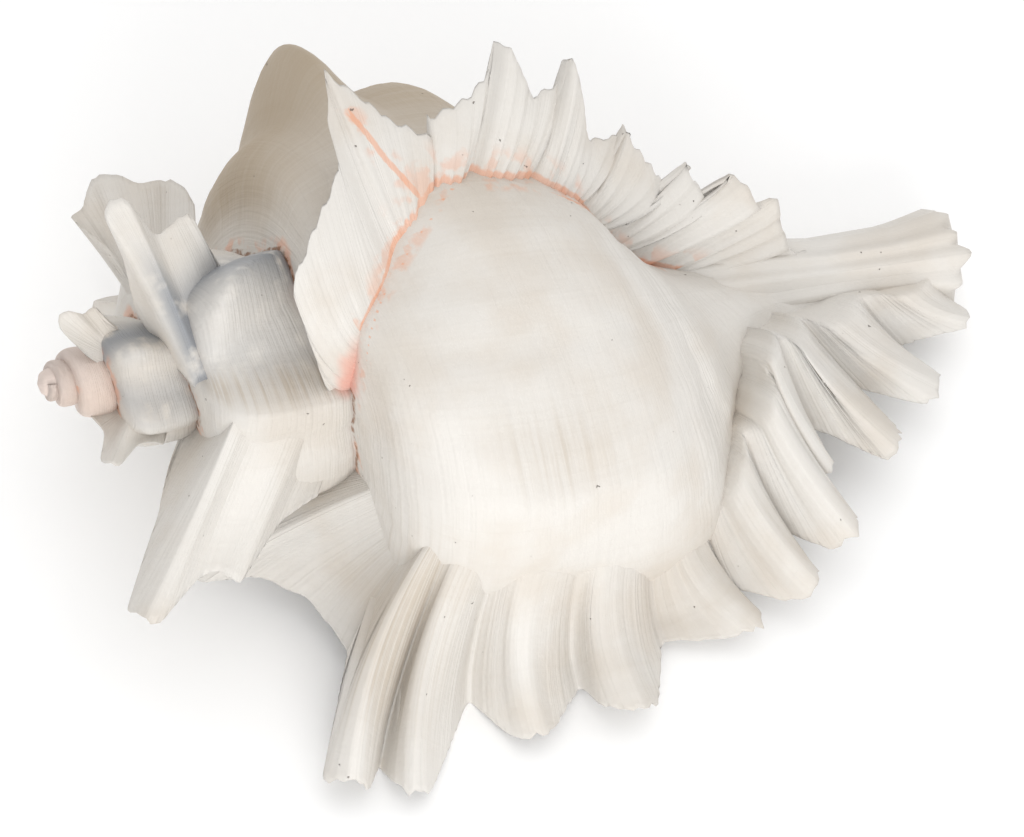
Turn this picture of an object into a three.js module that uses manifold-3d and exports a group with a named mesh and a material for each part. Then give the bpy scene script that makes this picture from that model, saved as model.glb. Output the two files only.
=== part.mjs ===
// Branched murex shell: one grown piece, with a coiled spire, a broad body whorl, three
// frilled varices to a turn, an open aperture and a slit siphonal canal.
//
// The shell is first laid out in its own growth frame: the apex at the origin, the coiling
// axis along -Z, and every point given by a radius from that axis, a depth below the apex and
// an azimuth. It is then turned to lie aperture down, the way a loose shell comes to rest.
// Lengths are millimetres and angles are degrees.
import * as THREE from 'three';
import { mergeVertices } from 'three/addons/utils/BufferGeometryUtils.js';
import Module from 'manifold-3d';

const wasm = await Module();
wasm.setup();

// Coiling: the whorl doubles in size each turn and winds clockwise seen from the apex.
const GROWTH_PER_TURN = 2;
const LIP_AZIMUTH = -82;
const WHORL_TURNS = 4;
const SEGMENT_TURN = 180;
const STEPS_PER_SEGMENT = 12;
const AXIS_GAP = 0.6;

// Outline of the whorl at the outer lip, as radius and depth below the apex, from the suture
// over the shoulder and round the base to the tip of the canal.
const LIP_OUTLINE = [
  [26, 62],     // 0 suture
  [39, 63.5],   // 1 ramp
  [52, 67],     // 2 shoulder
  [58, 80],     // 3 periphery
  [58.5, 100],  // 4 side
  [55, 119],    // 5 lower side
  [45, 134],    // 6 base
  [28, 143],    // 7 neck
  [16, 152],    // 8 canal root
  [10.5, 172],  // 9 canal
  [7, 196],     // 10 canal tip
];
const OUTLINE_SAMPLES = 20;
const SPIRE_CORE_DEPTH = 44;

// Blunt ridges between the varices: growth angle back from the lip, height along the flank,
// height of the knob, half width of the ridge and place of the knob; some knobs spread less
// along the outline, and one ridge slants, by degrees of growth for each place. The first two
// fill out the neck and the base behind the lip, where the side runs on into the canal, and the
// fourth is a hollow where the shoulder dips in front of the back varix.
const RIDGES = [
  { angle: -62, flank: 0, knob: 13, halfWidth: 55, knobAt: 7.5 },
  { angle: -6, flank: 0, knob: 5, halfWidth: 26, knobAt: 6 },
  { angle: -44, flank: 3, knob: 1.5, halfWidth: 20, knobAt: 3.4 },
  { angle: -106, flank: 0, knob: -10, halfWidth: 24, knobAt: 2.2 },
  { angle: -180, flank: 5, knob: 21, halfWidth: 24, knobAt: 3.4, spread: 0.45 },
  { angle: -185, flank: 0, knob: 11, halfWidth: 30, knobAt: 5 },
  { angle: -305, flank: 3, knob: 4, halfWidth: 22, knobAt: 3 },
  { angle: -420, flank: 9, knob: 4, halfWidth: 12, knobAt: 2.8 },
  { angle: -467, flank: 9, knob: 5, halfWidth: 13, knobAt: 3, slant: -10 },
  { angle: -545, flank: 5, knob: 8, halfWidth: 20, knobAt: 2.6 },
  { angle: -665, flank: 4, knob: 6, halfWidth: 20, knobAt: 2.6 },
  { angle: -757, flank: 5, knob: 4, halfWidth: 16, knobAt: 2.8 },
  { angle: -817, flank: 5, knob: 4, halfWidth: 16, knobAt: 2.8 },
];
const KNOB_SPREAD = 1;
const SLANT_PLACE = 3;
const FLANK_RISE = { from: 1.2, to: 3.2 };
const FLANK_FALL = { from: 5, to: 7 };

// A varix is a frilled fin across the whorl. Each row of its edge gives the place on the
// outline that the ray grows from, the radius and depth of the edge at full size, the width
// of the frond tip there, or 0 at the notch between two fronds, and, where it differs from the
// rest of the varix, how far the ray leans back. The root sweeps forward up to a given place,
// and its sides flare into the whorl.
const OUTER_LIP = {
  angle: 0, sweep: 18, sweepEnd: 2, lean: 7, shoulderLean: -4, flare: 20, flareFall: 2,
  fold: 4.2, seated: 1, fullSize: 1, rampFlare: 1,
  edge: [
    [0, 27, 50, 0],
    [0.2, 45, 31.4, 0],
    [0.8, 44.4, 44.3, 0],
    [1.3, 49.5, 52.5, 0],
    [1.7, 60, 57.7, 0],
    [2.0, 87.5, 49, 9],
    [2.3, 83.4, 58.8, 0],
    [2.6, 89.8, 62.4, 8],
    [3.0, 73.6, 79.5, 0],
    [3.5, 83.5, 88, 7],
    [3.9, 74.9, 101, 0],
    [4.4, 81.5, 107.5, 11],
    [4.9, 69.2, 118.6, 0],
    [5.3, 68.4, 135, 8],
    [5.6, 59.4, 131.9, 0],
    [5.9, 63.4, 147, 8],
    [6.15, 50.1, 143.4, 0],
    [6.4, 54.8, 156.4, 8],
    [6.65, 42.7, 151.7, 0],
    [6.85, 41.2, 154.4, 5],
    [7.05, 30.7, 153.5, 0],
    [7.4, 37.8, 171.6, 8],
    [7.8, 24.3, 168.5, 0],
    [8.3, 26.9, 184.4, 8],
    [8.8, 16.6, 179.3, 0],
    [9.3, 13.2, 194.6, 5],
    [9.6, 7.7, 193.5, 0],
    [10, 0.7, 197.9, 0],
  ],
};
const BACK_VARIX = {
  angle: -120, sweep: 66, sweepEnd: 3.9, lean: 15, flare: 7, fold: 3.2, seated: 0, fullSize: 1,
  rampFlare: 1,
  edge: [
    [0.3, 32, 47.8, 0, 11],
    [1.1, 41, 40.5, 0, 21.7],
    [1.8, 46, 45.8, 0, 23.3],
    [2.5, 50, 54.1, 0, 24.5],
    [2.8, 54, 52.8, 0, 30.6],
    [3.05, 57, 55, 5, 26.9],
    [3.35, 54, 67.4, 0, 20.5],
    [3.55, 52.6, 75.9, 4, 11.2],
    [3.75, 56, 84.4, 0, 17.1],
    [4.0, 62.2, 91.6, 7],
    [4.4, 53.9, 98.4, 0],
    [4.9, 56.4, 107.4, 6.5],
    [5.4, 40.3, 112.6, 0],
    [5.8, 38.2, 122.4, 5],
    [6.2, 25.4, 131.8, 0],
    [6.6, 29.6, 136, 3.4],
    [7.0, 22.4, 140.7, 0],
    [7.4, 27.6, 145.6, 3.6],
    [7.8, 22.2, 150.2, 0],
    [8.1, 22, 153.4, 2.6],
    [8.6, 9, 159.3, 0],
    [9.3, 5, 174, 0],
    [10, 3, 188, 0],
  ],
};

// The varices further back repeat the same frill at a smaller size.
const INNER_FRILL = [
  [0.2, 32, 40, 0],
  [1.2, 46, 50, 0],
  [2.0, 78, 49, 12],
  [2.8, 66, 72, 0],
  [3.5, 76, 84, 10],
  [4.0, 66, 95, 0],
  [4.6, 72, 110, 10],
  [5.2, 58, 122, 0],
  [5.9, 58, 140, 10],
  [6.6, 40, 146, 0],
  [7.3, 38, 163, 9],
  [8.2, 20, 170, 0],
  [9.2, 20, 190, 9],
  [10, 6, 197, 0],
];
const MIDDLE_FRILL = [
  [0.2, 38, 50, 0],
  [1.2, 58, 40, 0],
  [2.0, 100.5, 22.3, 13],
  [2.9, 88, 48, 0],
  [3.6, 90, 60, 10],
  [4.6, 70, 86, 0],
  [5.4, 62, 104, 0],
];
const HOOK_FRILL = [
  [0.2, 35, 51.3, 0],
  [1.2, 70, 42, 0],
  [2.0, 101, 36, 14],
  [2.9, 79.5, 59.6, 0],
  [3.6, 87, 73.9, 10],
  [4.6, 70, 88, 0],
];
const FOLDED_FRILL = [
  [0.6, 51.9, 63.9, 0],
  [1.1, 69.6, 57.1, 0],
  [1.6, 94.5, 44.4, 12],
  [2.0, 105, 52.5, 0],
  [2.5, 117.5, 68, 16],
  [3.0, 109, 86, 0],
  [3.4, 109.5, 107, 14],
  [4.2, 92, 116, 0],
];
const SPIRE_FRILL = [
  [0.2, 30, 40, 0],
  [1.2, 48, 48, 0],
  [2.0, 82, 40, 16],
  [2.9, 66, 70, 0],
  [3.6, 72, 84, 10],
  [4.6, 52, 98, 0],
];
const APEX_FRILL = [
  [0.2, 50, 41, 0],
  [1.2, 60, 27.5, 0],
  [1.7, 78, 21, 16],
  [2.2, 85, 34.6, 0],
  [2.8, 79, 55.5, 16],
  [4.0, 66, 67, 0],
];
const INNER_VARICES = [
  { angle: -240, edge: INNER_FRILL },
  { angle: -364, edge: MIDDLE_FRILL, flare: 48, flareFall: 1.3, rootSink: 0.5, fold: 1.2 },
  {
    angle: -492, edge: HOOK_FRILL, frontFlare: 46, flareFall: 1.5, rootSink: 0.5, rampFlare: 0.3,
    sweep: 6, fold: 2.4,
  },
  { angle: -545, edge: FOLDED_FRILL },
  { angle: -615, edge: SPIRE_FRILL },
  { angle: -735, edge: SPIRE_FRILL },
  { angle: -850, edge: APEX_FRILL },
  { angle: -970, edge: SPIRE_FRILL },
];
const INNER_FIN = { sweep: 26, sweepEnd: 2, lean: 9, flare: 9, fold: 3.6, seated: 0 };
const FIN_ROWS = [0, 0.16, 0.34, 0.54, 0.76, 1];
const FIN_ROOT_THICKNESS = 5;
const FIN_EDGE_THICKNESS = 2.2;
const FIN_ROOT_SINK = 0.82;
const FIN_ROOT_DROP = { depth: 3, from: 1, to: 2.5 };
const FIN_FLARE_FALL = 2.4;
const FLARE_START = { from: 0.4, to: 1.8 };
const FLARE_END = { from: 3.4, to: 6.4 };
const FRONT_FLARE_END = { from: 2.8, to: 4.3 };
const FIN_FOLD_GAIN = 1.3;
const FROND_SIDE_FOLD = -0.3;
const FROND_TIP_CROWN = 0.12;

// Towards the canal the fins lean and fold less, and they spring from the canal's outer side.
const SHOULDER_FADE = { from: 2.8, to: 4.6 };
const CANAL_FADE = { from: 4.5, to: 8.5, lean: 0.15, fold: 0.4 };
const CANAL_SEAT = { from: 5.2, to: 7.2, rootShare: 0.2, rise: 0.75, edgeShare: 0.3, fullRow: 0.34 };

// Hollow of the last part turn, an oval that narrows as it winds in, and the canal's slit.
const APERTURE = { radius: 34, depth: 99, halfWidth: 19, halfHeight: 31 };
const HOLLOW_TURN = 215;
const HOLLOW_TAPER_TURN = 80;
const HOLLOW_OVERRUN = 14;
const HOLLOW_END_TURN = 4;
const HOLLOW_STEPS = 12;
const HOLLOW_SIDES = 16;
const CANAL_SLIT = { width: 3.6, depth: 9, top: 122, bottom: 204, radius: 10.5, azimuth: -118 };

// Pillar that closes the coil's centre line.
const PILLAR = [
  [0, 2.5], [1.4, 6], [3.4, 16], [8, 45], [10, 80], [11, 125], [10, 150], [8, 166], [8.5, 182],
  [11, 196], [0, 199],
];
const PILLAR_SIDES = 14;

// Rest: the axis is laid down, then turned until two fronds and the canal tip stand level,
// and those three are worn flat where they meet the floor.
const AXIS_YAW = 8;
const AXIS_TILT = 20;
const LAY_DOWN = 60;
const REST_TURN = { x: -1.99, y: -2.655 };
const FLOOR_WEAR = 1.3;
const FLOOR_BLOCK = { size: 400, height: 20 };

const WELD_DISTANCE = 1e-3;

const radians = THREE.MathUtils.degToRad;

// Size of the growing whorl, as a share of its size at the lip.
function sizeAt(growthAngle) {
  return GROWTH_PER_TURN ** (growthAngle / 360);
}

function growthPoint(radius, depth, azimuth) {
  const turn = radians(azimuth);
  return new THREE.Vector3(radius * Math.cos(turn), radius * Math.sin(turn), -depth);
}

const lipCurve = new THREE.SplineCurve(LIP_OUTLINE.map(([r, d]) => new THREE.Vector2(r, d)));

function outlineAt(place) {
  return lipCurve.getPoint(place / (LIP_OUTLINE.length - 1));
}

function bell(distance) {
  return Math.exp(-distance * distance);
}

// How far the ridges push the whorl out at a growth angle and a place on the outline.
function ridgeHeight(growthAngle, place) {
  const onFlank = THREE.MathUtils.smoothstep(place, FLANK_RISE.from, FLANK_RISE.to)
    * (1 - THREE.MathUtils.smoothstep(place, FLANK_FALL.from, FLANK_FALL.to));
  return RIDGES.reduce((sum, ridge) => {
    const crest = ridge.angle + (ridge.slant ?? 0) * (place - SLANT_PLACE);
    const across = bell((growthAngle - crest) / ridge.halfWidth);
    const knob = ridge.knob * bell((place - ridge.knobAt) / (ridge.spread ?? KNOB_SPREAD));
    return sum + across * (ridge.flank * onFlank + knob);
  }, 0);
}

// Geometry of a closed grid of points: rings of equal length, joined in order, with both ends
// capped by triangles about their middle.
function closedRings(rings) {
  const sides = rings[0].length;
  const points = rings.flat();
  const faces = [];
  for (let ring = 0; ring + 1 < rings.length; ring += 1) {
    for (let side = 0; side < sides; side += 1) {
      const a = ring * sides + side;
      const b = ring * sides + ((side + 1) % sides);
      faces.push(a, b, a + sides, b, b + sides, a + sides);
    }
  }
  const capCorners = rings[0].map((_, i) => i);
  const last = (rings.length - 1) * sides;
  const cap = capTriangles(rings[0]);
  cap.forEach(([a, b, c]) => faces.push(capCorners[a], capCorners[c], capCorners[b]));
  const endCap = capTriangles(rings[rings.length - 1]);
  endCap.forEach(([a, b, c]) => faces.push(last + a, last + b, last + c));
  return solidFrom(points, faces);
}

// Triangles of a flat ring, found on the plane that shows it largest.
function capTriangles(ring) {
  const normal = new THREE.Vector3();
  ring.forEach((p, i) => {
    const q = ring[(i + 1) % ring.length];
    normal.add(new THREE.Vector3().crossVectors(p, q));
  });
  const across = new THREE.Vector3().subVectors(ring[1], ring[0]);
  across.projectOnPlane(normal.normalize()).normalize();
  const up = new THREE.Vector3().crossVectors(normal, across);
  const flat = ring.map((p) => new THREE.Vector2(p.dot(across), p.dot(up)));
  return THREE.ShapeUtils.triangulateShape(flat, []);
}

function solidFrom(points, faces) {
  const geometry = new THREE.BufferGeometry();
  geometry.setAttribute(
    'position',
    new THREE.BufferAttribute(new Float32Array(points.flatMap((p) => p.toArray())), 3),
  );
  geometry.setIndex(faces);
  return solidOf(geometry);
}

function solidOf(geometry) {
  const bare = geometry.clone();
  bare.deleteAttribute('normal');
  bare.deleteAttribute('uv');
  const merged = mergeVertices(bare, WELD_DISTANCE);
  const solid = new wasm.Manifold(new wasm.Mesh({
    numProp: 3,
    vertProperties: new Float32Array(merged.attributes.position.array),
    triVerts: new Uint32Array(merged.index.array),
  }));
  if (solid.volume() >= 0) return solid;
  const turned = Array.from(merged.index.array);
  for (let i = 0; i < turned.length; i += 3) {
    [turned[i + 1], turned[i + 2]] = [turned[i + 2], turned[i + 1]];
  }
  merged.setIndex(turned);
  return solidOf(merged);
}

// One part turn of the whorl, a wedge from the axis gap out to the whorl's surface.
function whorlSegment(fromAngle, toAngle) {
  const rings = [];
  for (let step = 0; step <= STEPS_PER_SEGMENT; step += 1) {
    const angle = THREE.MathUtils.lerp(fromAngle, toAngle, step / STEPS_PER_SEGMENT);
    const size = sizeAt(angle);
    const azimuth = LIP_AZIMUTH - angle;
    const ring = [];
    for (let i = 0; i < OUTLINE_SAMPLES; i += 1) {
      const place = (i / (OUTLINE_SAMPLES - 1)) * (LIP_OUTLINE.length - 1);
      const outline = outlineAt(place);
      ring.push(growthPoint((outline.x + ridgeHeight(angle, place)) * size, outline.y * size, azimuth));
    }
    const tipDepth = LIP_OUTLINE[LIP_OUTLINE.length - 1][1];
    ring.push(growthPoint(AXIS_GAP * size, tipDepth * size, azimuth));
    ring.push(growthPoint(AXIS_GAP * size, SPIRE_CORE_DEPTH * size, azimuth));
    rings.push(ring);
  }
  return closedRings(rings);
}

// Columns of a varix: each edge row becomes one ray at a notch, or three across a frond tip.
function finColumns(edge) {
  return edge.flatMap(([place, radius, depth, width, ownLean], i) => {
    const tip = new THREE.Vector2(radius, depth);
    if (width === 0) return [{ place, tip, ownLean, fold: -1 }];
    const before = edge[Math.max(i - 1, 0)][0];
    const after = edge[Math.min(i + 1, edge.length - 1)][0];
    const out = tip.clone().sub(outlineAt(place)).normalize();
    const side = new THREE.Vector2(-out.y, out.x).multiplyScalar(width / 2);
    return [
      { place: (place + before) / 2, tip: tip.clone().sub(side), ownLean, fold: FROND_SIDE_FOLD },
      { place, tip: tip.clone().addScaledVector(out, width * FROND_TIP_CROWN), ownLean, fold: 1 },
      { place: (place + after) / 2, tip: tip.clone().add(side), ownLean, fold: FROND_SIDE_FOLD },
    ].slice(0, i === edge.length - 1 ? 2 : 3);
  });
}

// One varix fin: a solid frilled sheet whose back, and in one case its front, flares into the
// whorl.
function varixFin(varix) {
  const { angle, sweep, sweepEnd, lean, shoulderLean, flare, fold, seated, fullSize, edge } = varix;
  const { flareFall = FIN_FLARE_FALL, frontFlare = 0, rampFlare = 0, rootSink = FIN_ROOT_SINK } = varix;
  const size = sizeAt(angle);
  const edgeSize = fullSize ?? size;
  const columns = finColumns(edge);
  const rings = columns.map(({ place, tip, ownLean, fold: phase }) => {
    const forward = sweep * Math.max(0, 1 - place / sweepEnd);
    const azimuth = LIP_AZIMUTH - angle - forward;
    const turn = radians(azimuth);
    const growth = new THREE.Vector3(Math.sin(turn), -Math.cos(turn), 0);
    const onCanal = THREE.MathUtils.smoothstep(place, CANAL_SEAT.from, CANAL_SEAT.to);
    const fade = THREE.MathUtils.smoothstep(place, CANAL_FADE.from, CANAL_FADE.to);
    const pastShoulder = THREE.MathUtils.smoothstep(place, SHOULDER_FADE.from, SHOULDER_FADE.to);
    const leanAll = ownLean ?? THREE.MathUtils.lerp(shoulderLean ?? lean, lean, pastShoulder);
    const leanHere = leanAll * THREE.MathUtils.lerp(1, CANAL_FADE.lean, fade);
    const foldHere = fold * phase * THREE.MathUtils.lerp(1, CANAL_FADE.fold, fade);
    const offRamp = THREE.MathUtils.smoothstep(place, FLARE_START.from, FLARE_START.to);
    const onBase = THREE.MathUtils.smoothstep(place, FLARE_END.from, FLARE_END.to);
    const flareShare = THREE.MathUtils.lerp(rampFlare, 1, offRamp) * (1 - onBase);
    const base = outlineAt(place).multiplyScalar(sizeAt(angle + forward));
    const onRamp = 1 - THREE.MathUtils.smoothstep(place, FIN_ROOT_DROP.from, FIN_ROOT_DROP.to);
    base.y += FIN_ROOT_DROP.depth * size * onRamp;
    const seatHere = seated * onCanal * CANAL_SEAT.rise * base.x;
    base.x *= THREE.MathUtils.lerp(rootSink, CANAL_SEAT.rootShare, seated * onCanal);
    const edgePoint = tip.clone().multiplyScalar(edgeSize);
    const onSide = THREE.MathUtils.smoothstep(place, FRONT_FLARE_END.from, FRONT_FLARE_END.to);
    const frontHere = frontFlare * (1 - onSide);
    const sheet = (row, side) => {
      const at = base.clone().lerp(edgePoint, row);
      const thickness = THREE.MathUtils.lerp(FIN_ROOT_THICKNESS, FIN_EDGE_THICKNESS, row);
      const fillet = (side < 0 ? flare : -frontHere) * flareShare * (1 - row) ** flareFall;
      const risen = THREE.MathUtils.smoothstep(row, 0, CANAL_SEAT.fullRow);
      const rise = seatHere * risen * THREE.MathUtils.lerp(1, CANAL_SEAT.edgeShare, row);
      const back = leanHere * row * row + foldHere * Math.min(1, row * FIN_FOLD_GAIN) + fillet + rise;
      const offset = (side * thickness) / 2 - back;
      return growthPoint(at.x, at.y, azimuth).addScaledVector(growth, offset * edgeSize);
    };
    const front = FIN_ROWS.map((row) => sheet(row, 1));
    const rear = FIN_ROWS.map((row) => sheet(row, -1)).reverse();
    return [...front, ...rear];
  });
  return stripRings(rings);
}

// A solid through cross sections that bend, each capped by the strip between its two sides.
function stripRings(rings) {
  const sides = rings[0].length;
  const points = rings.flat();
  const faces = [];
  for (let ring = 0; ring + 1 < rings.length; ring += 1) {
    for (let side = 0; side < sides; side += 1) {
      const a = ring * sides + side;
      const b = ring * sides + ((side + 1) % sides);
      faces.push(a, b, a + sides, b, b + sides, a + sides);
    }
  }
  const last = (rings.length - 1) * sides;
  for (let i = 0; i + 1 < sides / 2; i += 1) {
    const j = sides - 1 - i;
    faces.push(i, j, i + 1, i + 1, j, j - 1);
    faces.push(last + i, last + i + 1, last + j, last + i + 1, last + j - 1, last + j);
  }
  return solidFrom(points, faces);
}

// The hollow that winds in from the aperture.
function hollow() {
  const rings = [];
  for (let step = 0; step <= HOLLOW_STEPS; step += 1) {
    const angle = THREE.MathUtils.lerp(-HOLLOW_TURN, HOLLOW_OVERRUN, step / HOLLOW_STEPS);
    const narrowing = Math.sqrt(Math.min(1, (angle + HOLLOW_TURN + HOLLOW_END_TURN) / HOLLOW_TAPER_TURN));
    const size = sizeAt(angle);
    const ring = [];
    for (let side = 0; side < HOLLOW_SIDES; side += 1) {
      const turn = (side / HOLLOW_SIDES) * 2 * Math.PI;
      const radius = APERTURE.radius + APERTURE.halfWidth * narrowing * Math.cos(turn);
      const depth = APERTURE.depth + APERTURE.halfHeight * narrowing * Math.sin(turn);
      ring.push(growthPoint(radius * size, depth * size, LIP_AZIMUTH - angle));
    }
    rings.push(ring);
  }
  return closedRings(rings);
}

function canalSlit() {
  const { width, depth, top, bottom, radius, azimuth } = CANAL_SLIT;
  const slit = new THREE.BoxGeometry(depth, width, bottom - top);
  slit.translate(radius, 0, -(top + bottom) / 2);
  slit.rotateZ(radians(azimuth));
  return solidOf(slit);
}

function pillar() {
  const outline = PILLAR.map(([r, d]) => new THREE.Vector2(r, -d)).reverse();
  const lathe = new THREE.LatheGeometry(outline, PILLAR_SIDES);
  lathe.rotateX(Math.PI / 2);
  return solidOf(lathe);
}

function buildShell() {
  let shell = pillar();
  for (let angle = -WHORL_TURNS * 360; angle < 0; angle += SEGMENT_TURN) {
    shell = shell.add(whorlSegment(angle, angle + SEGMENT_TURN));
  }
  shell = shell.add(varixFin(OUTER_LIP)).add(varixFin(BACK_VARIX));
  INNER_VARICES.forEach((varix) => {
    shell = shell.add(varixFin({ ...INNER_FIN, ...varix }));
  });
  return largestBody(shell.subtract(hollow()).subtract(canalSlit()));
}

// The one grown piece, without the empty slivers that faces in one plane can leave.
function largestBody(solid) {
  return solid.decompose().reduce((best, body) => (body.volume() > best.volume() ? body : best));
}

// Turns the growth frame to the resting pose.
function restPose() {
  const tilt = radians(AXIS_TILT);
  const yaw = radians(AXIS_YAW);
  const lift = radians(LAY_DOWN);
  // Columns of the growth frame seen by an upright viewer: right, up and towards the viewer.
  const seen = new THREE.Matrix4().makeBasis(
    new THREE.Vector3(Math.sin(tilt) * Math.cos(yaw), Math.sin(tilt) * Math.sin(yaw), Math.cos(tilt)),
    new THREE.Vector3(-Math.sin(yaw), Math.cos(yaw), 0),
    new THREE.Vector3(-Math.cos(tilt) * Math.cos(yaw), -Math.cos(tilt) * Math.sin(yaw), Math.sin(tilt)),
  );
  const stand = new THREE.Matrix4().makeBasis(
    new THREE.Vector3(1, 0, 0),
    new THREE.Vector3(0, Math.sin(lift), Math.cos(lift)),
    new THREE.Vector3(0, -Math.cos(lift), Math.sin(lift)),
  );
  const level = new THREE.Matrix4().makeRotationFromEuler(
    new THREE.Euler(radians(REST_TURN.x), radians(REST_TURN.y), 0),
  );
  return level.multiply(stand).multiply(seen);
}

function geometryOf(solid) {
  const mesh = solid.getMesh();
  const geometry = new THREE.BufferGeometry();
  geometry.setAttribute('position', new THREE.BufferAttribute(mesh.vertProperties, 3));
  geometry.setIndex(new THREE.BufferAttribute(mesh.triVerts, 1));
  return geometry;
}

// Stands the shell over the origin and takes off what reaches below the floor at Z = 0.
function settle(geometry) {
  geometry.applyMatrix4(restPose());
  geometry.computeBoundingBox();
  const { min, max } = geometry.boundingBox;
  geometry.translate(-(min.x + max.x) / 2, -(min.y + max.y) / 2, -min.z - FLOOR_WEAR);
  const block = new THREE.BoxGeometry(FLOOR_BLOCK.size, FLOOR_BLOCK.size, FLOOR_BLOCK.height);
  block.translate(0, 0, -FLOOR_BLOCK.height / 2);
  return geometryOf(largestBody(solidOf(geometry).subtract(solidOf(block))));
}

const shellGeometry = settle(geometryOf(buildShell()));
shellGeometry.computeVertexNormals();

const shell = new THREE.Mesh(shellGeometry, new THREE.MeshStandardMaterial({
  color: 0xf0ece6,
  roughness: 0.55,
  metalness: 0,
}));
shell.name = 'shell';

const murex = new THREE.Group();
murex.add(shell);

export default murex;
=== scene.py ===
import bpy
import math
import numpy as np
from mathutils import Matrix, Vector
from mathutils.geometry import tessellate_polygon


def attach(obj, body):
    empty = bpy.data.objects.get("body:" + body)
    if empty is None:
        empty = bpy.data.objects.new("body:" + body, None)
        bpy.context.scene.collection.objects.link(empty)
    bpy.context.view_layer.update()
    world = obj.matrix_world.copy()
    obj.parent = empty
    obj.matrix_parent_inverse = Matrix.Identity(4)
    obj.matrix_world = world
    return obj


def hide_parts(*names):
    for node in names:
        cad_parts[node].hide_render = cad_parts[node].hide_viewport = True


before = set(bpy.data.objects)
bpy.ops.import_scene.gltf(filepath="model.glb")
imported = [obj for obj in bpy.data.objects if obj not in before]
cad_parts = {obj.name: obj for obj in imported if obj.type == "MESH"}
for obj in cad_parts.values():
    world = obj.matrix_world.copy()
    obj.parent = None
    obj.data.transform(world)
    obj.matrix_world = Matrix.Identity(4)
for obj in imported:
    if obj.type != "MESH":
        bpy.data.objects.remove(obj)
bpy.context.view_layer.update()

# lengths are in millimetres until they are laid down in the frame's metres
mm = 0.001


# one node with its settings; links holds plain values, the sockets that feed it, or a list of sockets
def addNode(tree, kind, links=None, **settings):
    node = tree.nodes.new(kind)
    for name, value in settings.items():
        setattr(node, name, value)
    for socket, value in (links or {}).items():
        feeds = value if isinstance(value, list) else [value]
        if isinstance(feeds[0], bpy.types.NodeSocket):
            for feed in feeds:
                tree.links.new(feed, node.inputs[socket])
        else:
            node.inputs[socket].default_value = value
    return node.outputs


def srgb(hexText):
    parts = [int(hexText[i:i + 2], 16) / 255 for i in (1, 3, 5)]
    return [c / 12.92 if c <= 0.04045 else ((c + 0.055) / 1.055) ** 2.4 for c in parts] + [1.0]


def smoothStep(x, low, high):
    t = np.clip((np.asarray(x, float) - low) / (high - low), 0, 1)
    return t * t * (3 - 2 * t)


def bell(x):
    return np.exp(-np.square(x))


# smooth seeded noise along a line, about -1 to 1
def lineNoise(x, wave, seed, count=4096, shift=1000):
    knots = np.random.default_rng(seed).uniform(-1, 1, count)
    at = np.asarray(x, float) / wave + shift
    low = np.floor(at).astype(int)
    t = smoothStep(at - low, 0, 1)
    return knots[low % count] * (1 - t) + knots[(low + 1) % count] * t


# how the shell lies: growth frame (apex at 0, axis along -z, mm) to the resting place (m)
rest = {
    "axisYaw": 8.0, "axisTilt": 20.0, "layDown": 60.0, "turnX": -1.99, "turnY": -2.655,
    "apex": (-94.517, -0.984, 47.951),
}


def restTurn():
    yaw, tilt, lay = (math.radians(rest[k]) for k in ("axisYaw", "axisTilt", "layDown"))
    seen = np.array([
        [math.sin(tilt) * math.cos(yaw), -math.sin(yaw), -math.cos(tilt) * math.cos(yaw)],
        [math.sin(tilt) * math.sin(yaw), math.cos(yaw), -math.cos(tilt) * math.sin(yaw)],
        [math.cos(tilt), 0.0, math.sin(tilt)],
    ])
    stand = np.array([
        [1.0, 0.0, 0.0],
        [0.0, math.sin(lay), -math.cos(lay)],
        [0.0, math.cos(lay), math.sin(lay)],
    ])
    level = np.array(Matrix.Rotation(math.radians(rest["turnX"]), 3, "X")
                     @ Matrix.Rotation(math.radians(rest["turnY"]), 3, "Y"))
    return level @ stand, level @ stand @ seen


viewTurn, shellTurn = restTurn()
apexPlace = np.array(rest["apex"])


def toRest(points):
    return (points @ shellTurn.T + apexPlace) * mm


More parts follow.
